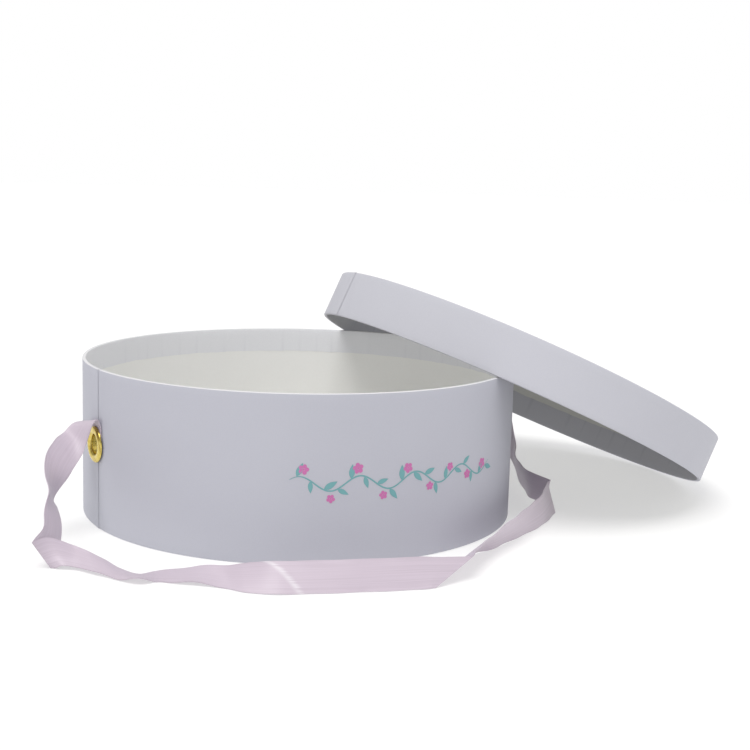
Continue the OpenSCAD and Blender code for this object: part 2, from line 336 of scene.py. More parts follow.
def rolled(name, path, tree, weights, sizes, place=Matrix(), crisp=35):
    """A piece made by turning a path round the Z axis of a place.

    The side on the right of the path's direction shows."""
    mesh = bpy.data.meshes.new(name)
    mesh.from_pydata([(p.x, 0, p.y) for p in path], [(i, i + 1) for i in range(len(path) - 1)], [])
    outward, lengthways = [], []
    for i in range(len(path)):
        t = (path[min(i + 1, len(path) - 1)] - path[max(i - 1, 0)]).normalized()
        lengthways += [t.x, 0, t.y]
        outward += [t.y, 0, -t.x]
    columns = {"outward": outward, "lengthways": lengthways, "weights": [w for row in weights for w in row]}
    for label, values in columns.items():
        mesh.attributes.new(label, "FLOAT_VECTOR", "POINT").data.foreach_set("vector", values)
    thing = bpy.data.objects.new(name, mesh)
    bpy.context.scene.collection.objects.link(thing)
    grown(thing, tree, sizes)
    face_outwards(thing.data)
    thing.data.transform(place)
    smooth(thing.data, crisp)
    return thing


def face_outwards(mesh):
    work = bmesh.new()
    work.from_mesh(mesh)
    if work.calc_volume(signed=True) < 0:
        bmesh.ops.reverse_faces(work, faces=work.faces)
    work.to_mesh(mesh)
    work.free()


def smooth(mesh, crisp):
    """Smooth shading, with edges sharper than an angle in degrees left crisp."""
    mesh.polygons.foreach_set("use_smooth", [True] * len(mesh.polygons))
    mesh.set_sharp_from_angle(angle=math.radians(crisp))


# How far from its cut edge a sheet is ragged, and how far from its folds it comes to be fully slack
RAGGED_REACH = 3 * MM
SLACK_REACH = 8 * MM


def edge_weights(path, turned_in):
    """For each point: how puckered, how ragged and how slack the sheet is there.

    turned_in holds the lengths of the turned-in stretches at the path's first and last end. A
    positive one puckers and has a ragged cut. A negative one is pasted flat, and 0 means none."""
    lengths = [0.0]
    for a, b in zip(path, path[1:]):
        lengths.append(lengths[-1] + (b - a).length)
    whole = lengths[-1]
    rows = []
    for s in lengths:
        pucker, cut = 0.0, 0.0
        for stretch, from_end in zip(turned_in, (s, whole - s)):
            if stretch > 0:
                pucker = max(pucker, 1 - from_end / stretch)
                cut = max(cut, 1 - from_end / RAGGED_REACH)
        slack = min(s - abs(turned_in[0]), whole - s - abs(turned_in[1])) / SLACK_REACH
        rows.append((pucker, cut, min(1, max(0, slack))))
    return rows


# ---------------------------------------------------------------- materials

# The painted highlight along the body's rim: how far under the top it starts, how softly, and its tone
RIM_HIGHLIGHT_DEPTH = 0.5 * MM
RIM_HIGHLIGHT_FADE = 0.3 * MM
RIM_HIGHLIGHT = (0.7, 0.7, 0.72)

# The painted highlight in a curved line across the satin: its place along the ribbon at one edge, how much
# further along it is at the other, how it curves, how unevenly it runs, its half width, its strength and its
# tone
SATIN_HIGHLIGHT_AT = 274 * MM
SATIN_HIGHLIGHT_SLANT = 21 * MM
SATIN_HIGHLIGHT_CURVE = 0.7
SATIN_HIGHLIGHT_WANDER = 5 * MM
SATIN_HIGHLIGHT_HALF_W = 3.6 * MM
SATIN_HIGHLIGHT_STRENGTH = 0.55
SATIN_HIGHLIGHT = (0.8, 0.78, 0.82)


def plain(name, colour, roughness=0.6, specular=0.4, metallic=0.0):
    material = bpy.data.materials.new(name)
    material.use_nodes = True
    shader = material.node_tree.nodes["Principled BSDF"]
    shader.inputs["Base Color"].default_value = (*colour, 1)
    shader.inputs["Roughness"].default_value = roughness
    shader.inputs["Specular IOR Level"].default_value = specular
    shader.inputs["Metallic"].default_value = metallic
    return material


def mixed(bench, amount, dark, light):
    return bench.put("ShaderNodeMix", {0: amount, 6: (*dark, 1), 7: (*light, 1)}, out=2, data_type="RGBA")


def paper(name, light, dark, grain, tooth, pleat_shade=0.0, turned_in=None, rim_highlight_above=None):
    """Uncoated paper: cloudy tone, fine fibres, a little tooth, and painted shade along its pleats where it
    has any.

    turned_in multiplies its tone where it is turned over an edge: a factor above 1 paints light there, and
    one below 1 paints shade.
    Above a given height, on the rim, a pale tone is mixed in as a painted highlight, patchy with the cloud."""
    material = plain(name, light, roughness=0.68, specular=0.25)
    bench = Bench(material.node_tree)
    shader = material.node_tree.nodes["Principled BSDF"]
    place = bench.put("ShaderNodeTexCoord", out=3)
    cloud = bench.put("ShaderNodeTexNoise", {"Vector": place, "Scale": 14.0, "Detail": 3.0})
    fibre = bench.put("ShaderNodeTexNoise", {"Vector": place, "Scale": grain, "Detail": 6.0,
                                             "Roughness": 0.7})
    tone = bench.calc("MULTIPLY_ADD", bench.calc("SUBTRACT", cloud, 0.5), 1.6,
                      bench.ramp(fibre, 0.25, 0.75))
    # Painted shade: the tone is darkened along the pleats, where shade falls in the creases.
    if pleat_shade:
        mark = bench.put("ShaderNodeAttribute", out=2, attribute_name="pleat")
        tone = bench.calc("SUBTRACT", tone, bench.calc("MULTIPLY", mark, pleat_shade))
    colour = mixed(bench, bench.calc("MAXIMUM", bench.calc("MINIMUM", tone, 1.0), -4.0), dark, light)
    colour.node.clamp_factor = False
    # Painted light and shade: the turned-in part's tone is multiplied, lighter inside the body's rim and
    # darker inside the lid, in place of the light that reaches there.
    if turned_in:
        inside = bench.put("ShaderNodeAttribute", out=2, attribute_name="turned_in")
        parted = bench.put("ShaderNodeMix", {0: bench.ramp(inside, 0.0, 0.02), 6: colour}, out=2,
                           data_type="RGBA")
        shade = bench.put("ShaderNodeMix", {0: 1.0, 6: colour, 7: (*turned_in, 1)}, out=2,
                          data_type="RGBA", blend_type="MULTIPLY")
        bench.tree.links.new(shade, parted.node.inputs[7])
        colour = parted
    # Painted highlight: the top of the rim is lightened towards a pale tone, patchy with the cloud, in place
    # of light caught on the rounded edge.
    if rim_highlight_above:
        height = bench.put("ShaderNodeSeparateXYZ", {0: place}).node.outputs[2]
        rim_highlight_mask = bench.calc("MULTIPLY", bench.ramp(height, rim_highlight_above, rim_highlight_above + RIM_HIGHLIGHT_FADE),
                            bench.ramp(cloud, 0.2, 0.6, 0.7, 1.0))
        colour = bench.put("ShaderNodeMix", {0: rim_highlight_mask, 6: colour, 7: (*RIM_HIGHLIGHT, 1)}, out=2,
                           data_type="RGBA")
    bench.tree.links.new(colour, shader.inputs["Base Color"])
    bump = bench.put("ShaderNodeBump", {"Strength": tooth, "Distance": 0.05 * MM, "Height": fibre})
    bench.tree.links.new(bump, shader.inputs["Normal"])
    return material


def board(name, light, dark):
    """Recycled greyboard: flecks of fibre and darker specks."""
    material = plain(name, light, roughness=0.9, specular=0.15)
    bench = Bench(material.node_tree)
    place = bench.put("ShaderNodeTexCoord", out=3)
    fleck = bench.put("ShaderNodeTexNoise", {"Vector": place, "Scale": 900.0, "Detail": 5.0})
    colour = mixed(bench, bench.ramp(fleck, 0.35, 0.6), dark, light)
    bench.tree.links.new(colour, material.node_tree.nodes["Principled BSDF"].inputs["Base Color"])
    return material


def gilt(name):
    """Polished gilt brass, with faint uneven polish."""
    material = plain(name, (0.66, 0.52, 0.15), roughness=0.22, metallic=1.0)
    bench = Bench(material.node_tree)
    shader = material.node_tree.nodes["Principled BSDF"]
    place = bench.put("ShaderNodeTexCoord", out=3)
    polish = bench.put("ShaderNodeTexNoise", {"Vector": place, "Scale": 260.0, "Detail": 4.0})
    colour = mixed(bench, bench.ramp(polish, 0.3, 0.7), (0.58, 0.44, 0.1), (0.74, 0.6, 0.18))
    bench.tree.links.new(colour, shader.inputs["Base Color"])
    bench.tree.links.new(bench.ramp(polish, 0.3, 0.7, 0.3, 0.2), shader.inputs["Roughness"])
    return material


def satin(name):
    """Pale pink satin: fine lengthways floats, woven selvedges, a soft sheen and one painted highlight in a
    curved line across it.
    """
    material = plain(name, (0.6, 0.52, 0.6), roughness=0.42, specular=0.4)
    bench = Bench(material.node_tree)
    shader = material.node_tree.nodes["Principled BSDF"]
    shader.inputs["Sheen Weight"].default_value = 0.2
    shader.inputs["Sheen Roughness"].default_value = 0.4
    shader.inputs["Anisotropic"].default_value = 0.55
    weave = bench.put("ShaderNodeUVMap", uv_map="weave")
    part = bench.put("ShaderNodeSeparateXYZ", {0: weave}).node.outputs
    from_middle = bench.calc("ABSOLUTE", bench.calc("SUBTRACT", part[0], 0.5))
    selvedge = bench.ramp(from_middle, 0.455, 0.475)
    floats = bench.put("ShaderNodeTexWave", {
        "Vector": bench.put("ShaderNodeCombineXYZ", {0: bench.calc("MULTIPLY", part[0], 20.0)}),
        "Scale": 1.1, "Distortion": 0.6, "Detail": 2.0}, out=1, wave_type="BANDS")
    ribs = bench.put("ShaderNodeTexWave", {
        "Vector": bench.put("ShaderNodeCombineXYZ", {0: bench.calc("MULTIPLY", part[1], 700.0)}),
        "Scale": 0.8}, out=1, wave_type="BANDS")
    streak = bench.put("ShaderNodeTexNoise", {
        "Vector": bench.put("ShaderNodeCombineXYZ", {0: bench.calc("MULTIPLY", part[0], 40.0),
                                                     1: bench.calc("MULTIPLY", part[1], 12.0)}),
        "Scale": 1.0, "Detail": 3.0})
    tone = bench.calc("MULTIPLY_ADD", selvedge, -0.35, bench.ramp(streak, 0.2, 0.8))
    colour = mixed(bench, tone, (0.51, 0.44, 0.51), (0.58, 0.505, 0.585))
    # Painted highlight: a pale curved band across the satin, patchy with the streaks, in place of light
    # caught where the ribbon bends.
    wander = bench.calc("MULTIPLY_ADD", bench.calc("SUBTRACT", streak, 0.5), SATIN_HIGHLIGHT_WANDER, SATIN_HIGHLIGHT_AT)
    slant = bench.calc("POWER", bench.calc("SUBTRACT", 1.0, part[0]), SATIN_HIGHLIGHT_CURVE)
    line = bench.calc("MULTIPLY_ADD", slant, SATIN_HIGHLIGHT_SLANT, wander)
    off_line = bench.calc("ABSOLUTE", bench.calc("SUBTRACT", part[1], line))
    satin_highlight_mask = bench.calc("MULTIPLY", bench.ramp(off_line, 0.0, SATIN_HIGHLIGHT_HALF_W, SATIN_HIGHLIGHT_STRENGTH, 0.0),
                       bench.ramp(streak, 0.3, 0.65, 0.35, 1.0))
    colour = bench.put("ShaderNodeMix", {0: satin_highlight_mask, 6: colour, 7: (*SATIN_HIGHLIGHT, 1)}, out=2, data_type="RGBA")
    bench.tree.links.new(colour, shader.inputs["Base Color"])
    height = bench.calc("ADD", bench.calc("MULTIPLY", floats, 0.4), bench.calc("MULTIPLY", ribs, selvedge))
    bump = bench.put("ShaderNodeBump", {"Strength": 0.25, "Distance": 0.05 * MM, "Height": height})
    bench.tree.links.new(bump, shader.inputs["Normal"])
    tangent = bench.put("ShaderNodeTangent", direction_type="UV_MAP", uv_map="weave")
    bench.tree.links.new(tangent, shader.inputs["Tangent"])
    return material


# ---------------------------------------------------------------- ribbon

RIBBON_W = 20 * MM
RIBBON_LIFT = 0.3 * MM
RIBBON_LOWEST = 0.35 * MM
# Each holed tab stands off the wrap, ends just above the eyelet, and leans out a little as it rises
TAB_GAP = 0.4 * MM
TAB_ABOVE = 0.5 * MM
TAB_RISE = 2 * MM
TAB_LEAN = 0.6 * MM

# The strip's slow cupping and the quick ripple of its edges: how high, and in radians a metre how fast
CUP, CUP_RATE = 0.5 * MM, 38
RIPPLE, RIPPLE_RATE = 0.35 * MM, 210
# Both fade out over a length at the tabs and over a few stations at a crease
TAB_FADE = 12 * MM
CREASE_FADE = 6
# The woven selvedge, past this share of the width from the middle, is thicker
SELVEDGE_FROM = 0.44
SELVEDGE_THICKER = 1.5

# Centre of the ribbon, then the vector across it from edge to edge, from the left end to the right
RIBBON_ROUTE = [
    (-0.154, 0.000, 0.072, -0.002, 0.019, -0.004),
    (-0.159, 0.001, 0.069, -0.005, 0.019, -0.001),
    (-0.164, 0.001, 0.061, -0.009, 0.017, 0.004),
    (-0.172, -0.006, 0.055, -0.013, 0.008, 0.012),
    (-0.179, -0.012, 0.049, -0.015, 0.004, 0.012),
    (-0.187, -0.024, 0.041, -0.012, -0.009, 0.011),
    (-0.191, -0.032, 0.034, -0.008, -0.014, 0.010),
    (-0.193, -0.039, 0.029, -0.011, -0.013, 0.008),
    (-0.195, -0.047, 0.022, -0.013, -0.009, 0.012),
    (-0.199, -0.056, 0.014, -0.012, -0.006, 0.013),
    (-0.210, -0.071, 0.008, -0.010, 0.002, 0.016),
    (-0.201, -0.070, 0.009, -0.002, 0.014, 0.014),
    (-0.191, -0.074, 0.006, 0.004, 0.018, 0.008),
    (-0.185, -0.085, 0.005, 0.005, 0.018, 0.006),
    (-0.179, -0.094, 0.003, 0.006, 0.019, 0.004),
    (-0.174, -0.103, 0.001, 0.007, 0.019, 0.000),
    (-0.167, -0.115, 0.002, 0.007, 0.018, -0.003),
    (-0.155, -0.115, 0.000, 0.007, 0.019, 0.000),
    (-0.146, -0.124, 0.002, 0.008, 0.018, 0.002),
    (-0.136, -0.133, 0.004, 0.008, 0.018, 0.004),
    (-0.126, -0.144, 0.004, 0.006, 0.017, 0.008),
    (-0.119, -0.156, 0.006, 0.006, 0.016, 0.012),
    (-0.108, -0.168, 0.008, 0.006, 0.011, 0.015),
    (-0.094, -0.175, 0.008, 0.006, 0.010, 0.016),
    (-0.067, -0.186, 0.008, 0.005, 0.009, 0.017),
    (-0.039, -0.196, 0.008, 0.005, 0.009, 0.017),
    (-0.023, -0.201, 0.008, 0.008, 0.008, 0.016),
    (-0.006, -0.204, 0.007, 0.029, 0.004, 0.014),
    (0.019, -0.183, 0.008, 0.008, -0.013, 0.014),
    (0.042, -0.168, 0.008, 0.004, -0.013, 0.015),
    (0.059, -0.161, 0.009, 0.004, -0.008, 0.018),
    (0.079, -0.151, 0.010, 0.003, -0.005, 0.019),
    (0.098, -0.140, 0.010, 0.001, -0.002, 0.020),
    (0.123, -0.124, 0.010, -0.001, 0.003, 0.020),
    (0.149, -0.102, 0.011, -0.002, 0.008, 0.021),
    (0.151, -0.092, 0.013, 0.002, -0.008, 0.018),
    (0.153, -0.074, 0.013, -0.002, -0.007, 0.019),
    (0.159, -0.057, 0.014, -0.006, -0.006, 0.018),
    (0.165, -0.042, 0.017, -0.008, -0.009, 0.016),
    (0.170, -0.031, 0.022, -0.009, -0.013, 0.012),
    (0.173, -0.023, 0.029, -0.006, -0.017, 0.008),
    (0.175, -0.016, 0.038, -0.004, -0.019, 0.005),
    (0.175, -0.011, 0.048, -0.003, -0.019, 0.004),
    (0.173, -0.006, 0.058, -0.002, -0.020, 0.002),
    (0.167, -0.002, 0.066, 0.000, -0.020, 0.000),
    (0.160, 0.000, 0.071, 0.000, -0.020, 0.000),
    (0.154, 0.000, 0.072, 0.000, -0.020, 0.000),
]
# Stations at which the ribbon is creased sharply
CREASES = (10, 27, 34)


def smooth_run(rows, parts):
    """Points between the rows of one uncreased run, on a smooth curve through all of them."""
    tangents = []
    for i in range(len(rows)):
        a, b = rows[max(i - 1, 0)], rows[min(i + 1, len(rows) - 1)]
        span = min(i + 1, len(rows) - 1) - max(i - 1, 0)
        tangents.append([(q - p) / span for p, q in zip(a, b)])
    points = []
    for i in range(len(rows) - 1):
        for k in range(parts):
            t = k / parts
            h = (2 * t**3 - 3 * t**2 + 1, t**3 - 2 * t**2 + t, 3 * t**2 - 2 * t**3, t**3 - t**2)
            points.append([h[0] * p + h[1] * m + h[2] * q + h[3] * n for p, m, q, n in
                           zip(rows[i], tangents[i], rows[i + 1], tangents[i + 1])])
    return points


def ribbon_stations(tab_top, parts=10):
    """Centres and across vectors all along the ribbon, from one tab's top edge to the other's."""
    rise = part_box("right_eyelet")[1].z + TAB_RISE
    start = [[-TAB_X, 0, tab_top, 0, RIBBON_W, 0], [-TAB_X - TAB_LEAN, 0, rise, 0, RIBBON_W, 0]]
    end = [[-x, -y, z, a, -b, c] for x, y, z, a, b, c in reversed(start)]
    route = [[x, y, z + RIBBON_LIFT, a, b, c] for x, y, z, a, b, c in RIBBON_ROUTE]
    rows = start + route + end
    marks = [0] + [k + len(start) for k in CREASES] + [len(rows) - 1]
    stations, folds = [], []
    for a, b in zip(marks, marks[1:]):
        folds.append(len(stations))
        stations += smooth_run(rows[a:b + 1], parts)
    return stations + [rows[-1]], folds[1:]


def tab_outline(side, tab_top, middle_z, hole_r, columns):
    """Matching outer and inner points of a ribbon end: round below, square above, holed in the middle."""
    half = RIBBON_W / 2
    outer = [(half - RIBBON_W * k / columns, tab_top - middle_z) for k in range(columns + 1)]
    outer += [(-half, (tab_top - middle_z) * (1 - k / 8)) for k in range(1, 9)]
    outer += [(half * math.cos(t), half * math.sin(t))
              for t in (math.pi * (1 + k / 32) for k in range(1, 33))]
    outer += [(half, (tab_top - middle_z) * k / 8) for k in range(1, 8)]
    points = []
    for y, z in outer:
        reach = math.hypot(y, z)
        points.append(((side * TAB_X, y, z + middle_z),
                       (side * TAB_X, y / reach * hole_r, z / reach * hole_r + middle_z)))
    return points


def make_ribbon():
    """One satin strip, creased and twisted along its route, with a holed tab under each eyelet."""
    columns = 20
    eyelet_low, eyelet_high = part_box("right_eyelet")
    middle_z = (eyelet_low.z + eyelet_high.z) / 2
    tab_top = eyelet_high.z + TAB_ABOVE
    hole_r = ring("right_washer", eyelet_place(1))[0]
    stations, folds = ribbon_stations(tab_top)
    work = bmesh.new()
    weave = work.loops.layers.uv.new("weave")
    centres = [Vector(s[:3]) for s in stations]
    fronts, backs, lengths = [], [], [0.0]
    for before, centre in zip(centres, centres[1:]):
        lengths.append(lengths[-1] + (centre - before).length)
    for i, s in enumerate(stations):
        across = Vector(s[3:])
        across *= max(1, RIBBON_W / across.length)
        way = centres[min(i + 1, len(stations) - 1)] - centres[max(i - 1, 0)]
        facing = way.cross(across).normalized()
        fade = min(1, lengths[i] / TAB_FADE, (lengths[-1] - lengths[i]) / TAB_FADE)
        fade *= min(1, min(abs(i - f) for f in folds) / CREASE_FADE)
        cup = fade * CUP * math.sin(lengths[i] * CUP_RATE + 1.0)
        ripple = fade * RIPPLE
        front, back = [], []
        for k in range(columns + 1):
            v = k / columns - 0.5
            waved = ripple * abs(2 * v) ** 3 * math.sin(lengths[i] * RIPPLE_RATE + 3 * v)
            bow = cup * (1 - 4 * v * v) + waved
            thick = RIBBON_SHEET * (SELVEDGE_THICKER if abs(v) > SELVEDGE_FROM and fade >= 1 else 1.0) / 2
            middle = centres[i] + across * v + facing * bow
            middle.z = max(middle.z, RIBBON_LOWEST)
            front.append(work.verts.new(middle + facing * thick))
            back.append(work.verts.new(middle - facing * thick))
        fronts.append(front)
        backs.append(back)

    def face(corners, marks):
        for loop, mark in zip(work.faces.new(corners).loops, marks):
            loop[weave].uv = mark

    for i in range(len(stations) - 1):
        for k in range(columns):
            u0, u1, v0, v1 = k / columns, (k + 1) / columns, lengths[i], lengths[i + 1]
            marks = [(u0, v0), (u1, v0), (u1, v1), (u0, v1)]
            face((fronts[i][k], fronts[i][k + 1], fronts[i + 1][k + 1], fronts[i + 1][k]), marks)
            face((backs[i][k], backs[i + 1][k], backs[i + 1][k + 1], backs[i][k + 1]),
                 [marks[0], marks[3], marks[2], marks[1]])
        for k in (0, columns):
            face((fronts[i][k], fronts[i + 1][k], backs[i + 1][k], backs[i][k]),
                 [(k / columns, lengths[i]), (k / columns, lengths[i + 1])] * 2)
    for side in (-1, 1):
        outline = tab_outline(side, tab_top, middle_z, hole_r, columns)
        rings = {}
        for depth in (-0.5, 0.5):
            off = Vector((depth * RIBBON_SHEET, 0, 0))
            rings[depth] = [(work.verts.new(Vector(a) + off), work.verts.new(Vector(b) + off))
                            for a, b in outline]
        count = len(outline)

        def mark(vertex):
            return vertex.co.y / RIBBON_W + 0.5, vertex.co.z

        for j in range(count):
            n = (j + 1) % count
            for depth in (-0.5, 0.5):
                (a, b), (c, d) = rings[depth][j], rings[depth][n]
                face((a, c, d, b), [mark(p) for p in (a, c, d, b)])
            (a, b), (c, d) = rings[-0.5][j], rings[-0.5][n]
            (e, f), (g, h) = rings[0.5][j], rings[0.5][n]
            face((b, d, h, f), [mark(p) for p in (b, d, h, f)])
            if j >= columns:
                face((a, c, g, e), [mark(p) for p in (a, c, g, e)])
    bmesh.ops.remove_doubles(work, verts=work.verts, dist=0.02 * MM)
    bmesh.ops.recalc_face_normals(work, faces=work.faces)
    mesh = bpy.data.meshes.new("satin_ribbon")
    work.to_mesh(mesh)
    work.free()
    ribbon = bpy.data.objects.new("satin_ribbon", mesh)
    bpy.context.scene.collection.objects.link(ribbon)
    face_outwards(mesh)
    smooth(mesh, 40)
    return ribbon


# ---------------------------------------------------------------- printed garland

def garland_recipe():
    """Flat motifs set in turn above and below a wavy line, with the line itself if it has a width.

    The whole lies flat at first, with its length along X, and is then wrapped round the body."""
    bench, given, leave = recipe("Printed garland", {
        "Length": ("Float", 0.15), "Wave height": ("Float", 0.005), "Waves": ("Float", 4.0),
        "Motifs": ("Int", 12), "Phase": ("Float", 0.0), "Offset": ("Float", 0.004), "Tilt": ("Float", 0.9),
        "Line width": ("Float", 0.0), "Body radius": ("Float", 0.15), "Height": ("Float", 0.05),
        "Turn": ("Float", 0.0), "Standoff": ("Float", INK_LIFT), "Material": ("Material", None)})

    def wave(x, derivative=False):
        pace = bench.calc("DIVIDE", bench.calc("MULTIPLY", given["Waves"], 2 * math.pi), given["Length"])
        angle = bench.calc("MULTIPLY_ADD", x, pace, 0.6)
        if derivative:
            return bench.calc("MULTIPLY", bench.calc("MULTIPLY", given["Wave height"], pace),
                              bench.calc("COSINE", angle))
        return bench.calc("MULTIPLY", given["Wave height"], bench.calc("SINE", angle))

    half = bench.calc("MULTIPLY", given["Length"], 0.5)
    stem = bench.put("GeometryNodeMeshGrid", {
        "Size X": given["Length"], "Size Y": given["Line width"], "Vertices X": 160, "Vertices Y": 3})
    flat = bench.put("ShaderNodeSeparateXYZ", {0: bench.put("GeometryNodeInputPosition")}).node.outputs
    slope = wave(flat[0], derivative=True)
    steep = bench.calc("SQRT", bench.calc("MULTIPLY_ADD", slope, slope, 1.0))
    taper = bench.ramp(bench.calc("ABSOLUTE", flat[0]), half, bench.calc("MULTIPLY", half, 0.8), 0.35, 1.0)
    across = bench.calc("MULTIPLY", flat[1], taper)
    sideways = bench.calc("MULTIPLY", bench.calc("DIVIDE", slope, steep), across)
    bent = bench.put("ShaderNodeCombineXYZ", {
        0: bench.calc("SUBTRACT", flat[0], sideways),
        1: bench.calc("ADD", wave(flat[0]), bench.calc("DIVIDE", across, steep))})
    stem = bench.put("GeometryNodeSetPosition", {"Geometry": stem, "Position": bent})
    stem = bench.put("GeometryNodeSwitch", {
        0: bench.calc("GREATER_THAN", given["Line width"], 0.0), 2: stem}, input_type="GEOMETRY")
    spots = bench.put("GeometryNodePoints", {"Count": given["Motifs"]})
    index = bench.put("GeometryNodeInputIndex")
    x = bench.calc("MULTIPLY", bench.calc("SUBTRACT", bench.calc("DIVIDE", bench.calc(
        "ADD", index, bench.calc("ADD", given["Phase"], 0.5)), given["Motifs"]), 0.5), given["Length"])
    above = bench.calc("SUBTRACT", 1.0, bench.calc("MULTIPLY", bench.calc("MODULO", index, 2.0), 2.0))
    spot = bench.put("ShaderNodeCombineXYZ", {
        0: x, 1: bench.calc("MULTIPLY_ADD", above, given["Offset"], wave(x))})
    spots = bench.put("GeometryNodeSetPosition", {"Geometry": spots, "Position": spot})
    lean = bench.calc("MULTIPLY_ADD", above, given["Tilt"],
                      bench.calc("ARCTANGENT", wave(x, derivative=True)))
    motifs = bench.put("GeometryNodeInstanceOnPoints", {
        "Points": spots, "Instance": given["Geometry"],
        "Rotation": bench.put("ShaderNodeCombineXYZ", {2: lean}),
        "Scale": bench.put("FunctionNodeRandomValue", {2: 0.8, 3: 1.1, "Seed": 4}, out=1)})
    join = bench.tree.nodes.new("GeometryNodeJoinGeometry")
    bench.tree.links.new(motifs, join.inputs[0])
    bench.tree.links.new(stem, join.inputs[0])
    solid = bench.put("GeometryNodeRealizeInstances", {0: join.outputs[0]})
    print_at = bench.put("ShaderNodeSeparateXYZ", {0: bench.put("GeometryNodeInputPosition")}).node.outputs
    angle = bench.calc("ADD", bench.calc("DIVIDE", print_at[0], given["Body radius"]), given["Turn"])
    radius = bench.calc("ADD", given["Body radius"], given["Standoff"])
    wrapped = bench.put("ShaderNodeCombineXYZ", {
        0: bench.calc("MULTIPLY", radius, bench.calc("COSINE", angle)),
        1: bench.calc("MULTIPLY", radius, bench.calc("SINE", angle)),
        2: bench.calc("ADD", print_at[1], given["Height"])})
    wrapped = bench.put("GeometryNodeSetPosition", {"Geometry": solid, "Position": wrapped})
    finished = bench.put("GeometryNodeSetMaterial", {"Geometry": wrapped, "Material": given["Material"]})
    bench.tree.links.new(finished, leave.inputs[0])
    return bench.tree


def leaf_outline(length, width):
    """A pointed leaf, drawn as rows of points so that it bends with the body."""
    rows = 7
    points, faces = [], []
    for i in range(rows + 1):
        t = i / rows
        half = width / 2 * math.sin(math.pi * t ** 0.8)
        points += [(length * t, -half, 0), (length * t, half, 0)]
    for i in range(rows):
        a = 2 * i
        faces.append((a, a + 2, a + 3, a + 1))
    return points, faces


def bud_outline(petals, petal_r, spread):
    """Round petals in a ring about a small round middle."""
    points, faces = [], []
    rounds = [(0.0, 0.0, petal_r * 0.55)]
    rounds += [(spread * math.cos(2 * math.pi * k / petals), spread * math.sin(2 * math.pi * k / petals),
                petal_r) for k in range(petals)]
    for x, y, r in rounds:
        first = len(points)
        points += [(x + r * math.cos(math.pi * k / 6), y + r * math.sin(math.pi * k / 6), 0)
                   for k in range(12)]
        faces.append(tuple(range(first, first + 12)))
    return points, faces


def printed(name, outline, tree, sizes):
    """A thin layer of ink on the body's wrap."""
    mesh = bpy.data.meshes.new(name)
    mesh.from_pydata(outline[0], [], outline[1])
    thing = bpy.data.objects.new(name, mesh)
    bpy.context.scene.collection.objects.link(thing)
    grown(thing, tree, sizes)
    work = bmesh.new()
    work.from_mesh(thing.data)
    bmesh.ops.remove_doubles(work, verts=work.verts, dist=0.001 * MM)
    for part in work.faces:
        part.normal_update()
        if part.normal.dot(Vector((part.calc_center_median().x, part.calc_center_median().y, 0))) < 0:
            part.normal_flip()
    made = bmesh.ops.extrude_face_region(work, geom=list(work.faces), use_keep_orig=True)
    for v in (e for e in made["geom"] if isinstance(e, bmesh.types.BMVert)):
        v.co += Vector((v.co.x, v.co.y, 0)).normalized() * INK_SHEET
    bmesh.ops.recalc_face_normals(work, faces=work.faces)
    work.to_mesh(thing.data)
    work.free()
    return thing


# ---------------------------------------------------------------- the finishes

add_camera()
add_surroundings()
add_sun("overhead", (-0.32, -0.16, 0.93), strength=2.3, softness=40)
add_sun("fill", (0.7, -0.4, 0.6), strength=0.45, softness=60)
add_floor()

# The body's wrap paper: turned_in makes it lighter inside the rim as painted light, pleat_shade paints shade
# along its pleats, and a painted highlight lies along the top of the rim.
WRAP = paper("wrap_paper", (0.5, 0.504, 0.565), (0.48, 0.484, 0.545), grain=1100.0, tooth=0.25,
             pleat_shade=1.5, turned_in=(1.62, 1.62, 1.5),
             rim_highlight_above=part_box("body_wrap")[1].z - RIM_HIGHLIGHT_DEPTH)
LINING = paper("lining_paper", (0.88, 0.88, 0.865), (0.86, 0.86, 0.845), grain=700.0, tooth=0.3)
# The lid's copy of the wrap paper: a little lighter outside than the body's, and darker where it turns in,
# with strongly darkened pleats, as painted shade inside the lid.
LID_WRAP_SHADED_INSIDE = paper("lid_wrap_paper", (0.54, 0.542, 0.595), (0.52, 0.522, 0.575), grain=1100.0, tooth=0.25,
                 pleat_shade=5.0, turned_in=(0.8, 0.8, 0.78))
# A darker copy of the lining paper, for inside the lid: painted shade.
LID_LINING_SHADED = paper("lid_lining_paper_shaded", (0.55, 0.55, 0.52), (0.52, 0.52, 0.49), grain=700.0, tooth=0.3)
GREYBOARD = board("greyboard", (0.42, 0.4, 0.37), (0.3, 0.285, 0.265))
KRAFT = board("kraft_tape", (0.5, 0.36, 0.22), (0.42, 0.29, 0.17))
GILT = gilt("gilt_brass")
SATIN = satin("satin_ribbon")
TEAL_INK = plain("teal_ink", (0.17, 0.38, 0.4), roughness=0.6, specular=0.3)
PINK_INK = plain("pink_ink", (0.56, 0.17, 0.4), roughness=0.6, specular=0.3)

CAD_FINISHES = {
    "body_wall_board": GREYBOARD, "body_base_board": GREYBOARD, "lid_wall_board": GREYBOARD,
    "lid_top_board": GREYBOARD, "body_joint_tape": KRAFT, "lid_joint_tape": KRAFT,
    "body_base_liner": LINING, "lid_top_liner": LID_LINING_SHADED, "body_base_cover": WRAP,
    "lid_top_paper": LID_WRAP_SHADED_INSIDE, "left_washer": GILT, "right_washer": GILT}
for node_name, finish in CAD_FINISHES.items():
    NODES[node_name].material_slots[0].material = finish


# ---------------------------------------------------------------- the pieces

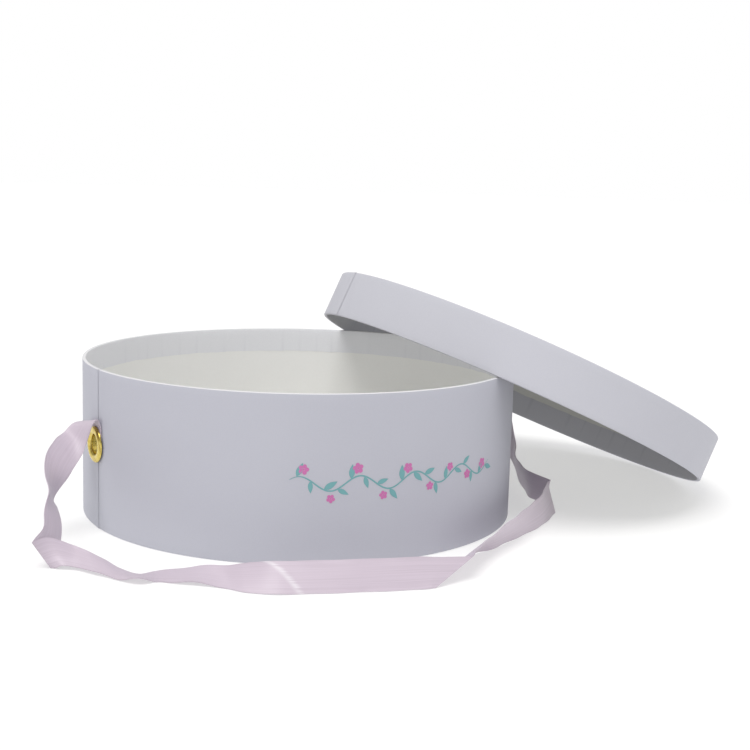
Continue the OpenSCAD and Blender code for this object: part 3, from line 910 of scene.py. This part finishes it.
ROLLED = rolled_sheet_recipe()
LID = lid_place()
BODY_FOLD_R, BODY_R, BODY_FOOT, BODY_TOP = ring("body_wrap")
LINING_R, _, LINING_FOOT, LINING_TOP = ring("body_wall_liner")
LID_FOLD_R, LID_R, _, LID_TOP = ring("lid_side_wrap", LID)
LID_IN, _, LID_LINING_FOOT, LID_CEILING = ring("lid_wall_liner", LID)
WALL_HOLE_R = ring("left_washer", eyelet_place(-1))[0]
EYELET_Z = (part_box("left_eyelet")[0].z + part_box("left_eyelet")[1].z) / 2
TAB_X = BODY_R + TAB_GAP
# The linings lie this far behind the face of the turned-in paper and run this far under it
SET_BACK = 0.1 * MM
UNDERLAP = 1.5 * MM
CURL_R = 1.1 * MM


def put(piece, body, slot, *nodes):
    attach(piece, body)
    if nodes:
        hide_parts(*nodes)


def make_body_wrap():
    foot = BODY_FOOT + FOOT_CLEAR
    path = divided(rounded([(BODY_FOLD_R, foot), (BODY_R, foot), (BODY_R, BODY_TOP),
                            (LINING_R, BODY_TOP), (LINING_R, LINING_TOP)], EDGE_BEND), 5 * MM)
    weights = edge_weights(path, (BODY_FOLD_R - BODY_R, BODY_TOP - LINING_TOP))
    return rolled("body_wrap_paper", path, ROLLED, weights, {
        "Start": math.radians(BODY_LAP), "Sweep": math.radians(361.5), "Columns": 540, "Lap": 0.004,
        "Pleats": 64.0, "Pleat height": 0.3 * MM, "Pleat width": 0.1, "Raggedness": 1.4 * MM,
        "Slackness": 0.08 * MM, "Seed": 3.0, "Hole radius": WALL_HOLE_R, "Hole height": EYELET_Z,
        "Material": WRAP})


def make_body_lining():
    r = LINING_R + SET_BACK
    path = divided([Vector((r, LINING_TOP + UNDERLAP)), Vector((r, LINING_FOOT))], 5 * MM)
    weights = edge_weights(path, (0, 0))
    return rolled("body_wall_lining", path, ROLLED, weights, {
        "Start": math.radians(LINING_LAP), "Sweep": math.radians(362.5), "Columns": 360, "Lap": 0.007,
        "Thickness": LINING_SHEET, "Slackness": 0.1 * MM, "Seed": 8.0, "Hole radius": WALL_HOLE_R,
        "Hole height": EYELET_Z, "Material": LINING})


def make_lid_wrap():
    path = divided(rounded([(LID_IN, LID_LINING_FOOT), (LID_IN, 0), (LID_R, 0), (LID_R, LID_TOP),
                            (LID_FOLD_R, LID_TOP)], EDGE_BEND), 4 * MM)
    weights = edge_weights(path, (LID_LINING_FOOT, LID_FOLD_R - LID_R))
    return rolled("lid_wrap_paper", path, ROLLED, weights, {
        "Start": math.radians(LID_LAP), "Sweep": math.radians(361.5), "Columns": 720, "Lap": 0.004,
        "Pleats": 58.0, "Pleat height": 0.4 * MM, "Pleat width": 0.08, "Raggedness": 1.4 * MM,
        "Slackness": 0.08 * MM, "Seed": 11.0, "Material": LID_WRAP_SHADED_INSIDE}, place=LID)


def make_lid_lining():
    r = LID_IN + SET_BACK
    path = divided([Vector((r, LID_CEILING)), Vector((r, LID_LINING_FOOT - UNDERLAP))], 4 * MM)
    weights = edge_weights(path, (0, 0))
    return rolled("lid_wall_lining", path, ROLLED, weights, {
        "Start": math.radians(LINING_LAP), "Sweep": math.radians(362.5), "Columns": 360, "Lap": 0.007,
        "Thickness": LINING_SHEET, "Slackness": 0.1 * MM, "Seed": 5.0, "Material": LID_LINING_SHADED}, place=LID)


def make_eyelet(name, side):
    """Sheet gilt: a domed flange, a barrel through the wall and a curl over the washer inside."""
    place = eyelet_place(side)
    bore_r, flange_r, inner_end, crest = ring(name, place)
    seat = TAB_X + TAB_GAP
    dome_r, middle_r = (flange_r - bore_r) / 2, (flange_r + bore_r) / 2
    dome = [Vector((middle_r + dome_r * math.cos(t), seat + (crest - seat) * math.sin(t)))
            for t in (math.pi * k / 24 for k in range(25))]
    curl = [Vector((bore_r + CURL_R * (1 - math.cos(t)), inner_end + CURL_R * (1 - math.sin(t))))
            for t in (math.pi * k / 16 for k in range(1, 13))]
    path = divided(dome + [Vector((bore_r, inner_end + CURL_R))] + curl, 1 * MM)
    return rolled(name + "_gilt", path, ROLLED, [(0, 0, 0)] * len(path), {
        "Columns": 96, "Thickness": GILT_SHEET, "Open": 0.0, "Lap": 0.0, "Material": GILT},
        place=place, crisp=60)


put(make_body_wrap(), "box", "wrap_paper", "body_wrap")
put(make_body_lining(), "box", "lining_paper", "body_wall_liner")
put(make_lid_wrap(), "lid", "wrap_paper", "lid_side_wrap")
put(make_lid_lining(), "lid", "lining_paper", "lid_wall_liner")
put(make_eyelet("left_eyelet", -1), "box", "gilt_brass", "left_eyelet")
put(make_eyelet("right_eyelet", 1), "box", "gilt_brass", "right_eyelet")

GARLAND = garland_recipe()
PRINT = {"Length": 150 * MM, "Wave height": 4.5 * MM, "Waves": 4.0, "Body radius": BODY_R,
         "Height": 51 * MM, "Turn": math.radians(PRINT_AT)}
put(printed("printed_vine", leaf_outline(9 * MM, 3.6 * MM), GARLAND, {
    **PRINT, "Motifs": 18, "Offset": 0.3 * MM, "Tilt": 0.95, "Line width": 0.9 * MM,
    "Material": TEAL_INK}), "box", "wrap_paper")
put(printed("printed_buds", bud_outline(5, 1.3 * MM, 2.0 * MM), GARLAND, {
    **PRINT, "Motifs": 9, "Offset": 4.8 * MM, "Tilt": 0.3, "Material": PINK_INK}), "box", "wrap_paper")

ribbon = make_ribbon()
ribbon.data.materials.append(SATIN)
put(ribbon, "handle", "satin_ribbon", "ribbon_handle")
